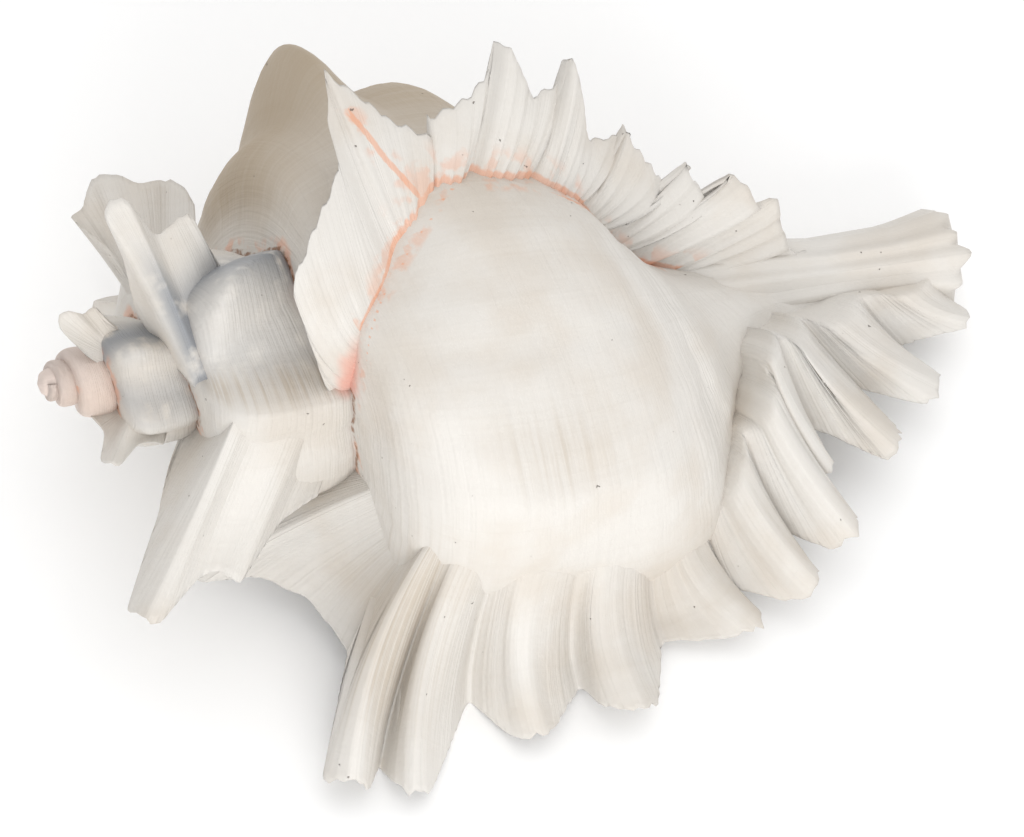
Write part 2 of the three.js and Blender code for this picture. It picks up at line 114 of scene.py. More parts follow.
# the coil: whorl outline at the lip as radius and depth below the apex, in mm
coil = {
    "growthPerTurn": 2.0, "turns": 5.2, "lipAzimuth": -82.0,
    "growthSteps": 420, "outlineSteps": 108, "bluntApex": 1.9,
    "cordHeight": 0.1, "cordsPerPlace": 5.0, "foldHeight": 0.7, "lumpHeight": 1.1, "seed": 7.0,
    "outline": [(26, 62), (39, 63.5), (52, 67), (58, 80), (58.5, 100), (55, 119), (45, 134),
                (28, 143), (16, 152), (10.5, 172), (7, 196)],
    # ridges and hollows: growth angle, flank, knob, half width, place and spread of the knob, slant, crest
    "ridges": [(-62, 0, 13, 55, 7.5, 1, 0, "SMOOTHSTEP"), (-6, 0, 5, 26, 6, 1, 0, "SMOOTHSTEP"),
               (-44, 5, 1.5, 17, 3.4, 1, 0, "LINEAR"), (-106, 0, -10, 24, 2.2, 1, 0, "SMOOTHSTEP"),
               (-180, 5, 21.5, 24, 3.4, 0.38, 0, "SMOOTHSTEP"), (-185, 0, 11, 30, 5, 1, 0, "SMOOTHSTEP"),
               (-305, 3, 4, 22, 3, 1, 0, "SMOOTHSTEP"), (-420, 13, 4, 11, 2.8, 1, 0, "LINEAR"),
               (-467, 15, 5, 11, 3, 1, -10, "LINEAR"), (-545, 5, 8, 20, 2.6, 1, 0, "SMOOTHSTEP"),
               (-665, 4, 6, 20, 2.6, 1, 0, "LINEAR"), (-757, 12, 5, 11, 2.8, 1, 0, "LINEAR"),
               (-817, 12, 6, 11, 2.8, 1, 0, "LINEAR"), (-905, 8, 6, 14, 2.8, 1, 0, "LINEAR"),
               (-1020, 8, 6, 16, 2.8, 1, 0, "SMOOTHSTEP")],
    "ridgeReach": 1.8, "slantPlace": 3.0, "flankRise": (1.2, 3.2), "flankFall": (5.0, 7.0),
    "axisGap": 0.6, "coreDepth": 44.0, "denseSteps": 2001, "slopeStep": 0.01, "endStep": 0.2,
    # noise scales over growth and place, and detail; sizes between which the apex is blunted
    "foldNoise": ((0.11, 0.22, 0.0), 2.0), "lumpNoise": ((0.05, 1.1, 0.0), 4.0), "bluntSizes": (0.03, 0.16),
    # before this growth angle and past this place, the next whorl has grown over the shell
    "coveredBefore": -385.0, "coveredPast": 6.4,
}


def sizeAt(growth):
    return coil["growthPerTurn"] ** (np.asarray(growth, float) / 360)


# spline through the outline points, one unit of place per point
def outlineAt(place):
    pts = np.array(coil["outline"], float)
    place = np.clip(np.asarray(place, float), 0, len(pts) - 1)
    i = np.minimum(place.astype(int), len(pts) - 2)
    t = (place - i)[..., None]
    p0, p1 = pts[np.maximum(i - 1, 0)], pts[i]
    p2, p3 = pts[i + 1], pts[np.minimum(i + 2, len(pts) - 1)]
    v0, v1 = (p2 - p0) / 2, (p3 - p1) / 2
    return (2 * p1 - 2 * p2 + v0 + v1) * t ** 3 + (3 * p2 - 3 * p1 - 2 * v0 - v1) * t ** 2 + v0 * t + p1


# how far the ridges push the whorl out, as the node tree does it
def ridgeAt(growth, place):
    reach = coil["ridgeReach"]
    flankFall = 1 - smoothStep(place, *coil["flankFall"])
    flankShare = smoothStep(place, *coil["flankRise"]) * flankFall
    total = np.zeros(np.broadcast(growth, place).shape)
    for angle, flank, knob, halfWidth, knobAt, spread, slant, crest in coil["ridges"]:
        off = np.abs(growth - angle - slant * (place - coil["slantPlace"])) / (halfWidth * reach)
        body = 1 - smoothStep(off, 0, 1) if crest == "SMOOTHSTEP" else np.clip(1 - off, 0, 1)
        hump = knob * (1 - smoothStep(np.abs(place - knobAt), 0, reach * spread))
        total = total + body * (flank * flankShare + hump)
    return total


def growthPoint(radius, depth, azimuth):
    turn = np.radians(azimuth)
    return np.stack([radius * np.cos(turn), radius * np.sin(turn), -depth + 0 * turn], -1)


# a mesh object from arrays, with point attributes; faces are lists of corners
def meshObject(name, points, faces, attributes):
    mesh = bpy.data.meshes.new(name)
    mesh.from_pydata(points.tolist(), [], [list(f) for f in faces])
    for key, values in attributes.items():
        mesh.attributes.new(key, "FLOAT", "POINT").data.foreach_set("value", np.asarray(values, np.float32))
    mesh.update()
    made = bpy.data.objects.new(name, mesh)
    bpy.context.scene.collection.objects.link(made)
    return made


# length run along a chain of points, from 0
def runAlong(points):
    steps = np.linalg.norm(np.diff(points, axis=0), axis=1)
    return np.concatenate([[0], np.cumsum(steps)])


# the outline as a chain of points: where it is, which way is out, and its place
def outlineChain():
    lastPlace, step = len(coil["outline"]) - 1, coil["slopeStep"]
    dense = np.linspace(0, lastPlace, coil["denseSteps"])
    run = runAlong(outlineAt(dense))
    place = np.interp(np.linspace(0, run[-1], coil["outlineSteps"]), run, dense)
    spot = outlineAt(place)
    along = outlineAt(np.minimum(place + step, lastPlace)) - outlineAt(np.maximum(place - step, 0))
    along /= np.linalg.norm(along, axis=1)[:, None]
    outward = np.stack([along[:, 1], -along[:, 0]], 1)
    # both ends run in to the axis
    gap, tip, endStep = coil["axisGap"], coil["outline"][-1][1], coil["endStep"]
    spot = np.vstack([[gap, coil["coreDepth"]], spot, [gap, tip]])
    outward = np.vstack([[0, 0], outward, [0, 0]])
    place = np.concatenate([[-endStep], place, [lastPlace + endStep]])
    return spot, outward, place


chainSpot, chainOut, chainPlace = outlineChain()


# inputs of the node tree: kind of socket, and the name of the value it is given
coilInputs = {
    "Growth per turn": ("Float", "growthPerTurn"), "Turns": ("Float", "turns"),
    "Lip azimuth": ("Float", "lipAzimuth"), "Growth steps": ("Int", "growthSteps"),
    "Blunt apex": ("Float", "bluntApex"), "Cord height": ("Float", "cordHeight"),
    "Cords per place": ("Float", "cordsPerPlace"), "Fold height": ("Float", "foldHeight"),
    "Lump height": ("Float", "lumpHeight"), "Seed": ("Float", "seed"),
    "Fronds": ("Object", "fronds"), "Shell material": ("Material", "material"),
}


# Geometry Nodes: the outline chain is swept round the coil and raised by ridges, cords and folds
def coilTree():
    tree = bpy.data.node_groups.new("coilGrowth", "GeometryNodeTree")
    tree.interface.new_socket("Geometry", in_out="INPUT", socket_type="NodeSocketGeometry")
    for name, (kind, _) in coilInputs.items():
        tree.interface.new_socket(name, in_out="INPUT", socket_type="NodeSocket" + kind)
    tree.interface.new_socket("Geometry", in_out="OUTPUT", socket_type="NodeSocketGeometry")
    given = addNode(tree, "NodeGroupInput")
    maths, mapped, vector = "ShaderNodeMath", "ShaderNodeMapRange", "ShaderNodeVectorMath"

    grid = addNode(tree, "GeometryNodeMeshGrid", {"Size X": 1.0, "Size Y": 1.0,
                                                  "Vertices X": given["Growth steps"],
                                                  "Vertices Y": len(chainPlace)})
    across = addNode(tree, "ShaderNodeSeparateXYZ", {0: grid["UV Map"]})
    # even steps in the square root of the size: finer towards the apex, even along the last whorl
    half = addNode(tree, maths, {0: given["Turns"], 1: -0.5}, operation="MULTIPLY")[0]
    first = addNode(tree, maths, {0: given["Growth per turn"], 1: half}, operation="POWER")[0]
    root = addNode(tree, mapped, {"Value": across[0], "To Min": first, "To Max": 1.0})[0]
    size = addNode(tree, maths, {0: root, 1: root}, operation="MULTIPLY")[0]
    turned = addNode(tree, maths, {0: size, 1: given["Growth per turn"]}, operation="LOGARITHM")[0]
    growth = addNode(tree, maths, {0: turned, 1: 360.0}, operation="MULTIPLY")[0]
    column = addNode(tree, maths, {0: across[1], 1: len(chainPlace) - 1.0}, operation="MULTIPLY")[0]
    column = addNode(tree, maths, {0: column}, operation="ROUND")[0]

    # the chain's points hold radius, depth and place; its attributes hold the way out
    here = addNode(tree, "GeometryNodeInputPosition")[0]
    chainHere = addNode(tree, "GeometryNodeSampleIndex",
                        {"Geometry": given["Geometry"], "Value": here, "Index": column},
                        data_type="FLOAT_VECTOR", domain="POINT")[0]
    radius, depth, place = addNode(tree, "ShaderNodeSeparateXYZ", {0: chainHere})
    outward = {}
    for key in ("outRadius", "outDepth"):
        named = addNode(tree, "GeometryNodeInputNamedAttribute", {"Name": key}, data_type="FLOAT")[0]
        outward[key] = addNode(tree, "GeometryNodeSampleIndex",
                               {"Geometry": given["Geometry"], "Value": named, "Index": column},
                               data_type="FLOAT", domain="POINT")[0]

    # ridges, each rising and falling along the growth, with a knob at one place of the outline
    falling = {"To Min": 1.0, "To Max": 0.0}
    low, high = coil["flankRise"]
    rise = addNode(tree, mapped, {"Value": place, "From Min": low, "From Max": high},
                   interpolation_type="SMOOTHSTEP")[0]
    low, high = coil["flankFall"]
    fall = addNode(tree, mapped, {"Value": place, "From Min": low, "From Max": high, **falling},
                   interpolation_type="SMOOTHSTEP")[0]
    flankShare = addNode(tree, maths, {0: rise, 1: fall}, operation="MULTIPLY")[0]
    ridge, reach = 0.0, coil["ridgeReach"]
    for angle, flank, knob, halfWidth, knobAt, spread, slant, crest in coil["ridges"]:
        middle = angle - slant * coil["slantPlace"]
        off = addNode(tree, maths, {0: place, 1: -float(slant), 2: growth}, operation="MULTIPLY_ADD")[0]
        off = addNode(tree, maths, {0: off, 1: middle}, operation="SUBTRACT")[0]
        off = addNode(tree, maths, {0: off}, operation="ABSOLUTE")[0]
        body = addNode(tree, mapped, {"Value": off, "From Max": halfWidth * reach, **falling},
                       interpolation_type=crest)[0]
        away = addNode(tree, maths, {0: place, 1: float(knobAt)}, operation="SUBTRACT")[0]
        away = addNode(tree, maths, {0: away}, operation="ABSOLUTE")[0]
        hump = addNode(tree, mapped, {"Value": away, "From Max": reach * spread,
                                      "To Min": float(knob), "To Max": 0.0},
                       interpolation_type="SMOOTHSTEP")[0]
        height = addNode(tree, maths, {0: flankShare, 1: float(flank), 2: hump}, operation="MULTIPLY_ADD")[0]
        ridge = addNode(tree, maths, {0: body, 1: height, 2: ridge}, operation="MULTIPLY_ADD")[0]

    # low relief: cords along the growth, folds across it, and uneven lumps
    cordTurn = addNode(tree, maths, {0: place, 1: given["Cords per place"]}, operation="MULTIPLY")[0]
    cordTurn = addNode(tree, maths, {0: cordTurn, 1: 2 * math.pi}, operation="MULTIPLY")[0]
    cordWave = addNode(tree, maths, {0: cordTurn}, operation="COSINE")[0]
    cord = addNode(tree, maths, {0: cordWave, 1: given["Cord height"]}, operation="MULTIPLY")[0]
    relief = addNode(tree, maths, {0: cord, 1: rise}, operation="MULTIPLY")[0]
    grown = addNode(tree, "ShaderNodeCombineXYZ", {0: growth, 1: place})[0]
    for heightName, key in (("Fold height", "foldNoise"), ("Lump height", "lumpNoise")):
        scales, detail = coil[key]
        spot = addNode(tree, vector, {0: grown, 1: scales}, operation="MULTIPLY")[0]
        noise = addNode(tree, "ShaderNodeTexNoise", {"Vector": spot, "W": given["Seed"], "Scale": 1.0,
                                                     "Detail": detail}, noise_dimensions="4D")[0]
        swing = addNode(tree, mapped, {"Value": noise, "To Min": -1.0, "To Max": 1.0})[0]
        relief = addNode(tree, maths, {0: swing, 1: given[heightName], 2: relief},
                         operation="MULTIPLY_ADD")[0]

    # round the axis, then from the growth frame to the resting place
    radius = addNode(tree, maths, {0: relief, 1: outward["outRadius"], 2: radius},
                     operation="MULTIPLY_ADD")[0]
    radius = addNode(tree, maths, {0: radius, 1: ridge}, operation="ADD")[0]
    low, high = coil["bluntSizes"]
    blunt = addNode(tree, mapped, {"Value": size, "From Min": low, "From Max": high,
                                   "To Min": given["Blunt apex"], "To Max": 0.0})[0]
    radius = addNode(tree, maths, {0: radius, 1: size, 2: blunt}, operation="MULTIPLY_ADD")[0]
    depth = addNode(tree, maths, {0: relief, 1: outward["outDepth"], 2: depth}, operation="MULTIPLY_ADD")[0]
    depth = addNode(tree, maths, {0: depth, 1: size}, operation="MULTIPLY")[0]
    azimuth = addNode(tree, maths, {0: given["Lip azimuth"], 1: growth}, operation="SUBTRACT")[0]
    azimuth = addNode(tree, maths, {0: azimuth}, operation="RADIANS")[0]
    spun = {2: addNode(tree, maths, {0: depth, 1: -1.0}, operation="MULTIPLY")[0]}
    for axis, wave in enumerate(("COSINE", "SINE")):
        share = addNode(tree, maths, {0: azimuth}, operation=wave)[0]
        spun[axis] = addNode(tree, maths, {0: share, 1: radius}, operation="MULTIPLY")[0]
    spun = addNode(tree, "ShaderNodeCombineXYZ", spun)[0]
    sides = [addNode(tree, vector, {0: spun, 1: shellTurn[i] * mm}, operation="DOT_PRODUCT")["Value"]
             for i in range(3)]
    laid = addNode(tree, "ShaderNodeCombineXYZ", dict(enumerate(sides)))[0]
    laid = addNode(tree, vector, {0: laid, 1: apexPlace * mm}, operation="ADD")[0]
    flow = addNode(tree, "GeometryNodeSetPosition", {"Geometry": grid["Mesh"], "Position": laid})[0]
    for key, value in (("growth", growth), ("place", place)):
        flow = addNode(tree, "GeometryNodeStoreNamedAttribute",
                       {"Geometry": flow, "Name": key, "Value": value}, data_type="FLOAT", domain="POINT")[0]
    # what the next whorl has grown over is left out
    old = addNode(tree, "GeometryNodeInputNamedAttribute", {"Name": "growth"}, data_type="FLOAT")[0]
    old = addNode(tree, maths, {0: old, 1: coil["coveredBefore"]}, operation="LESS_THAN")[0]
    under = addNode(tree, "GeometryNodeInputNamedAttribute", {"Name": "place"}, data_type="FLOAT")[0]
    under = addNode(tree, maths, {0: under, 1: coil["coveredPast"]}, operation="GREATER_THAN")[0]
    covered = addNode(tree, maths, {0: old, 1: under}, operation="MULTIPLY")[0]
    flow = addNode(tree, "GeometryNodeDeleteGeometry", {"Geometry": flow, "Selection": covered},
                   domain="POINT")[0]
    fronds = addNode(tree, "GeometryNodeObjectInfo", {"Object": given["Fronds"]})["Geometry"]
    flow = addNode(tree, "GeometryNodeJoinGeometry", {0: [flow, fronds]})[0]
    flow = addNode(tree, "GeometryNodeSetShadeSmooth", {"Geometry": flow})[0]
    flow = addNode(tree, "GeometryNodeRealizeInstances", {"Geometry": flow})[0]
    flow = addNode(tree, "GeometryNodeSetMaterial",
                   {"Geometry": flow, "Material": given["Shell material"]})[0]
    addNode(tree, "NodeGroupOutput", {"Geometry": flow})
    return tree


# what the varices share: lengths in mm, and places, rows and shares without a unit
frond = {
    "rootThickness": 5.0, "edgeThickness": 1.3, "edgeThinning": 0.55, "thinRow": (0.9, 1.0),
    # share of the radius where a root sits, and how far it drops on the ramp, between two places
    "rootSink": 0.82, "rootDrop": 3.0, "dropPlace": (1.0, 2.5), "shoulderFade": (2.8, 4.6),
    # the root's fillet: how fast it falls off, and the places between which it starts and ends
    "flareFall": 3.0, "flareStart": (0.4, 1.8), "flareEnd": (3.4, 6.4), "frontEnd": (2.8, 4.3),
    # towards the canal the fronds lie flatter, and the lip's fan is seated on the canal
    "canalPlace": (4.5, 8.5), "canalLean": 0.15, "canalFold": 0.55,
    "seatPlace": (5.2, 7.2), "seatSink": 0.2, "seatRise": 1.0, "seatEdge": 0.45, "seatRow": 0.34,
    # phase is 1 along the middle of a frond and falls to its sides and notches
    "tipPhase": 1.0, "sidePhase": -0.3, "notchPhase": -1.0, "tipRound": 0.12,
    "tubeDepth": 0.5, "foldRow": 1.3, "bowPhase": (-0.9, 0.2),
    # columns in mm, and how wide and how far they are rounded
    "columnStep": 1.1, "softWidth": 1.3, "softReach": 12,
    # ribs as spacing and height, their wander and a slow swell as wave and height, all in mm
    "ribs": (2.4, 0.32), "ribRow": (0.15, 0.5), "ribWander": (6, 1.1), "swell": (9, 0.5),
    # torn edge: two waves, the shares of the second and of the ribs, and what is left in a notch
    "jag": 1.0, "tornWaves": (1.9, 5), "tornShares": (0.8, 0.5), "tornNotch": 0.25, "tornPhase": (-0.5, 0.5),
    "seed": 20, "seedStep": 7,
}

# varices: edge rows are place on the outline, radius, depth, frond tip width (0 at a notch), own lean
outerFrill = [
    (0, 27, 50, 0), (0.2, 45, 31.4, 0), (0.8, 44.4, 44.3, 0), (1.3, 49.5, 52.5, 0), (1.7, 60, 57.7, 0),
    (2, 87.5, 49, 9), (2.3, 83.4, 58.8, 0), (2.6, 89.8, 62.4, 8), (3, 73.6, 79.5, 0),
    (3.5, 83.5, 88, 7), (3.9, 74.9, 101, 0), (4.4, 81.5, 107.5, 11), (4.9, 69.2, 118.6, 0),
    (5.3, 68.4, 135, 8), (5.6, 59.4, 131.9, 0), (5.9, 63.4, 147, 8), (6.15, 50.1, 143.4, 0),
    (6.4, 54.8, 156.4, 8), (6.65, 42.7, 151.7, 0), (6.85, 41.2, 154.4, 5),
    (7.05, 30.7, 153.5, 0), (7.4, 37.8, 171.6, 8), (7.8, 24.3, 168.5, 0), (8.3, 26.9, 184.4, 8),
    (8.8, 16.6, 179.3, 0), (9.3, 13.2, 194.6, 5), (9.6, 7.7, 193.5, 0), (10, 0.7, 197.9, 0),
]
backFrill = [
    (0.3, 32, 47.8, 0, 11), (1.1, 41, 40.5, 0, 21.7), (1.8, 46, 45.8, 0, 23.3), (2.5, 50, 54.1, 0, 24.5),
    (2.8, 54, 52.8, 0, 30.6), (3.05, 57, 55, 5, 26.9), (3.35, 54, 67.4, 0, 20.5),
    (3.55, 52.6, 75.9, 4, 11.2), (3.75, 56, 84.4, 0, 17.1), (4, 62.2, 91.6, 7), (4.4, 53.9, 98.4, 0),
    (4.9, 56.4, 107.4, 6.5), (5.4, 40.3, 112.6, 0), (5.8, 38.2, 122.4, 5), (6.2, 25.4, 131.8, 0),
    (6.6, 29.6, 136, 3.4), (7, 22.4, 140.7, 0), (7.4, 27.6, 145.6, 3.6), (7.8, 22.2, 150.2, 0),
    (8.1, 22, 153.4, 2.6), (8.6, 9, 159.3, 0), (9.3, 5, 174, 0), (10, 3, 188, 0),
]
innerFrill = [
    (0.2, 32, 40, 0), (1.2, 46, 50, 0), (2, 78, 49, 12), (2.8, 66, 72, 0), (3.5, 76, 84, 10),
    (4, 66, 95, 0), (4.6, 72, 110, 10), (5.2, 58, 122, 0), (5.9, 58, 140, 10), (6.6, 40, 146, 0),
    (7.3, 38, 163, 9), (8.2, 20, 170, 0), (9.2, 20, 190, 9), (10, 6, 197, 0),
]
middleFrill = [(0.2, 38, 50, 0), (1.2, 58, 40, 0), (2, 100.5, 22.3, 13), (2.9, 88, 48, 0),
               (3.6, 90, 60, 10), (4.6, 70, 86, 0), (5.4, 62, 104, 0)]
hookFrill = [(0.2, 35, 51.3, 0), (1.2, 70, 42, 0), (2, 101, 36, 14), (2.9, 79.5, 59.6, 0),
             (3.6, 87, 73.9, 10), (4.6, 70, 88, 0)]
foldedFrill = [(0.6, 51.9, 63.9, 0), (1.1, 69.6, 57.1, 0), (1.6, 94.5, 44.4, 12), (2, 105, 52.5, 0),
               (2.5, 117.5, 68, 16), (3, 109, 86, 0), (3.4, 109.5, 107, 14), (4.2, 92, 116, 0)]
spireFrill = [(0.2, 30, 40, 0), (1.2, 48, 48, 0), (2, 82, 40, 16), (2.9, 66, 70, 0),
              (3.6, 72, 84, 10), (4.6, 52, 98, 0)]
apexFrill = [(0.2, 50, 41, 0), (1.2, 60, 27.5, 0), (1.7, 78, 21, 16), (2.2, 85, 34.6, 0),
             (2.8, 79, 55.5, 16), (4, 66, 67, 0)]
innerFin = {"sweep": 26, "sweepEnd": 2, "lean": 9, "flare": 9, "fold": 4.4, "bow": 0, "rows": 15}
varices = [
    {"growth": 0, "edge": outerFrill, "sweep": 18, "sweepEnd": 2, "lean": 7, "shoulderLean": -4, "flare": 26,
     "flareFall": 2, "rampFlare": 1, "fold": 5.4, "bow": -2.5, "seated": 1, "fullSize": 1, "rows": 38},
    {"growth": -120, "edge": backFrill, "sweep": 66, "sweepEnd": 3.9, "lean": 15, "flare": 7, "rampFlare": 1,
     "fold": 3.8, "ribs": (4.4, 0.6), "bow": 0, "fullSize": 1, "rows": 28},
    {"growth": -240, "edge": innerFrill, **innerFin, "rows": 20},
    {"growth": -364, "edge": middleFrill, **innerFin, "flare": 48, "flareFall": 1.3, "rootSink": 0.5,
     "fold": 1.2, "bow": 2, "rows": 22},
    {"growth": -492, "edge": hookFrill, **innerFin, "frontFlare": 46, "flareFall": 1.5, "rootSink": 0.5,
     "rampFlare": 0.3, "sweep": 6, "fold": 2.4, "bow": 3, "rows": 20},
    {"growth": -545, "edge": foldedFrill, **innerFin},
    {"growth": -615, "edge": spireFrill, **innerFin},
    {"growth": -735, "edge": spireFrill, **innerFin},
    {"growth": -850, "edge": apexFrill, **innerFin},
    {"growth": -970, "edge": spireFrill, **innerFin},
]


# rays of a varix: one at each notch, three across each frond tip; each holds its lean as well
def frondRays(varix):
    rays, edge, sidePhase = [], varix["edge"], frond["sidePhase"]
    for i, (place, radius, depth, width, *own) in enumerate(edge):
        tip = np.array([radius, depth], float)
        before, after = edge[max(i - 1, 0)][0], edge[min(i + 1, len(edge) - 1)][0]
        out = tip - outlineAt(place)
        out /= np.linalg.norm(out)
        side = np.array([-out[1], out[0]]) * width / 2
        spread = [(place, tip, frond["notchPhase"])] if width == 0 else [
            ((place + before) / 2, tip - side, sidePhase),
            (place, tip + out * width * frond["tipRound"], frond["tipPhase"]),
            ((place + after) / 2, tip + side, sidePhase)]
        for at, end, phase in spread:
            pastShoulder = float(smoothStep(at, *frond["shoulderFade"]))
            start = varix.get("shoulderLean", varix["lean"])
            lean = own[0] if own else start + (varix["lean"] - start) * pastShoulder
            rays.append((at, end[0], end[1], phase, lean))
    return np.array(rays)


# averages along the columns, so that frond tips and notches are rounded
def softened(values, width):
    ends = frond["softReach"]
    weights = np.exp(-(np.arange(-ends, ends + 1) / width) ** 2)
    weights /= weights.sum()
    padded = np.concatenate([np.repeat(values[:1], ends, 0), values, np.repeat(values[-1:], ends, 0)])
    return np.stack([np.convolve(column, weights, "valid") for column in padded.T], 1)


# quads between rings of equal length, listed ring after ring
def ringFaces(rings, sides):
    a = np.arange(rings - 1)[:, None] * sides + np.arange(sides)[None]
    b = np.arange(rings - 1)[:, None] * sides + (np.arange(sides)[None] + 1) % sides
    return np.stack([a, b, b + sides, a + sides], -1).reshape(-1, 4)


def varixSheet(varix, seed):
    size = float(sizeAt(varix["growth"]))
    edgeSize = varix.get("fullSize", size)
    rays = frondRays(varix)
    run = runAlong(rays[:, 1:3]) * edgeSize
    count = int(run[-1] / frond["columnStep"])
    at = np.linspace(0, run[-1], count)
    dense = np.stack([np.interp(at, run, ray) for ray in rays.T], 1)
    dense = softened(dense, frond["softWidth"] / frond["columnStep"])
    place, tip, phase, lean = dense[:, 0], dense[:, 1:3], dense[:, 3], dense[:, 4]

    fade = smoothStep(place, *frond["canalPlace"])
    lean = lean * (1 + (frond["canalLean"] - 1) * fade)
    # a frond is a half tube: broad on its back, steep at its sides
    tube = 1 - frond["tubeDepth"] * np.square(1 - phase)
    fold = varix["fold"] * tube * (1 + (frond["canalFold"] - 1) * fade)
    rampFlare = varix.get("rampFlare", 0)
    flareFall = varix.get("flareFall", frond["flareFall"])
    flareShare = rampFlare + (1 - rampFlare) * smoothStep(place, *frond["flareStart"])
    flareShare = flareShare * (1 - smoothStep(place, *frond["flareEnd"]))
    frontFlare = -varix.get("frontFlare", 0) * (1 - smoothStep(place, *frond["frontEnd"]))
    rootSink = varix.get("rootSink", frond["rootSink"])
    ahead = varix["sweep"] * np.maximum(0, 1 - place / varix["sweepEnd"])
    base = outlineAt(place) * sizeAt(varix["growth"] + ahead)[:, None]
    base[:, 1] += frond["rootDrop"] * size * (1 - smoothStep(place, *frond["dropPlace"]))
    seated = varix.get("seated", 0) * smoothStep(place, *frond["seatPlace"])
    seat = seated * frond["seatRise"] * base[:, 0]
    base[:, 0] *= rootSink + (frond["seatSink"] - rootSink) * seated

    # ribs run out along each frond and end in a torn, scalloped edge
    out = tip * edgeSize - base
    out /= np.linalg.norm(out, axis=1)[:, None]
    side = np.stack([-out[:, 1], out[:, 0]], 1)
    ribSpacing, ribHeight = varix.get("ribs", frond["ribs"])
    wanderWave, wander = frond["ribWander"]
    rib = np.cos(2 * np.pi * (at + wander * lineNoise(at, wanderWave, seed)) / ribSpacing)
    firstWave, secondWave = frond["tornWaves"]
    secondShare, ribShare = frond["tornShares"]
    torn = lineNoise(at, firstWave, seed + 1) + secondShare * lineNoise(at, secondWave, seed + 2)
    torn = torn + ribShare * rib
    notchShare = frond["tornNotch"]
    atTip = notchShare + (1 - notchShare) * smoothStep(phase, *frond["tornPhase"])
    edge = tip * edgeSize + out * (frond["jag"] * edgeSize * torn * atTip)[:, None]

    azimuth = coil["lipAzimuth"] - varix["growth"] - ahead
    turn = np.radians(azimuth)
    forward = np.stack([np.sin(turn), -np.cos(turn), np.zeros_like(turn)], 1)
    length = np.linalg.norm(edge - base, axis=1)
    bow = varix["bow"] * edgeSize * smoothStep(phase, *frond["bowPhase"])
    swellWave, swellHeight = frond["swell"]
    ribbed = ribHeight * rib + swellHeight * lineNoise(at, swellWave, seed + 3)
    rows = np.linspace(0, 1, varix["rows"])
    rings = []
    marks = {key: [] for key in ("growth", "place", "row", "rowLength", "ray", "fin")}
    for face, order in ((1, rows), (-1, rows[::-1])):
        for row in order:
            # the bow is greatest half way out
            spot = base + (edge - base) * row + side * (bow * 4 * row * (1 - row))[:, None]
            thick = frond["rootThickness"] * (1 - row) + frond["edgeThickness"] * row
            thick = thick * (1 - frond["edgeThinning"] * smoothStep(row, *frond["thinRow"]))
            fillet = (varix["flare"] if face < 0 else frontFlare) * flareShare * (1 - row) ** flareFall
            rise = smoothStep(row, 0, frond["seatRow"]) * (1 + (frond["seatEdge"] - 1) * row)
            back = (lean * row * row + fold * min(1, row * frond["foldRow"]) + fillet
                    + ribbed * smoothStep(row, *frond["ribRow"]) + seat * rise)
            offset = (face * thick / 2 - back) * edgeSize
            rings.append(growthPoint(spot[:, 0], spot[:, 1], azimuth) + forward * offset[:, None])
            for key, value in (("growth", varix["growth"]), ("place", place), ("row", row),
                               ("rowLength", length * row), ("ray", at), ("fin", face)):
                marks[key].append(np.zeros(count) + value)
    points = np.stack(rings, 1)
    sides = points.shape[1]
    # both ends are closed, from one face to the other
    i = np.arange(sides // 2 - 1)
    j, last = sides - 1 - i, (count - 1) * sides
    quads = [ringFaces(count, sides), np.stack([i, j, j - 1, i + 1], 1),
             np.stack([last + i, last + i + 1, last + j - 1, last + j], 1)]
    return points.reshape(-1, 3), np.vstack(quads), {k: np.stack(v, 1).ravel() for k, v in marks.items()}


# aperture hollow: an oval that winds in and narrows to its end
mouth = {
    "radius": 34.0, "depth": 99.0, "halfWidth": 19.0, "halfHeight": 31.0, "windsIn": 215.0,
    "endTurn": 4.0, "taperTurn": 80.0, "steps": 40, "sides": 48, "place": 4.0,
}


# the oval as radius and depth; narrow is 1 at the lip
def mouthOval(turn, narrow):
    radius = mouth["radius"] + mouth["halfWidth"] * narrow * np.cos(turn)
    depth = mouth["depth"] + mouth["halfHeight"] * narrow * np.sin(turn)
    return radius, depth


def mouthHollow():
    sides, steps, windsIn = (mouth[k] for k in ("sides", "steps", "windsIn"))
    turn = np.linspace(0, 2 * np.pi, sides, endpoint=False)
    rings = []
    for g in np.linspace(-windsIn, 0, steps):
        narrow = math.sqrt(min(1, (g + windsIn + mouth["endTurn"]) / mouth["taperTurn"]))
        radius, depth = mouthOval(turn, narrow)
        rings.append(growthPoint(radius * sizeAt(g), depth * sizeAt(g), coil["lipAzimuth"] - g))
    points = np.vstack(rings)
    faces = ringFaces(steps, sides)[:, ::-1].tolist()
    faces.append(list(range(sides)))
    # the lip face: the outline at the lip with the oval cut out of it
    rimRadius = chainSpot[:, 0] + ridgeAt(0.0, chainPlace)
    rim = growthPoint(rimRadius, chainSpot[:, 1], np.full(len(chainPlace), coil["lipAzimuth"]))
    flatRim = [Vector((r, d, 0)) for r, d in zip(rimRadius, chainSpot[:, 1])]
    flatOval = [Vector((r, d, 0)) for r, d in zip(*mouthOval(turn, 1))]
    start = len(points)
    index = list(range(start, start + len(rim))) + list(range(start - sides, start))
    points = np.vstack([points, rim])
    for corners in tessellate_polygon([flatRim, flatOval]):
        faces.append([index[k] for k in corners])
    marks = {"place": np.full(len(points), mouth["place"]), "inside": np.ones(len(points))}
    return points, faces, marks


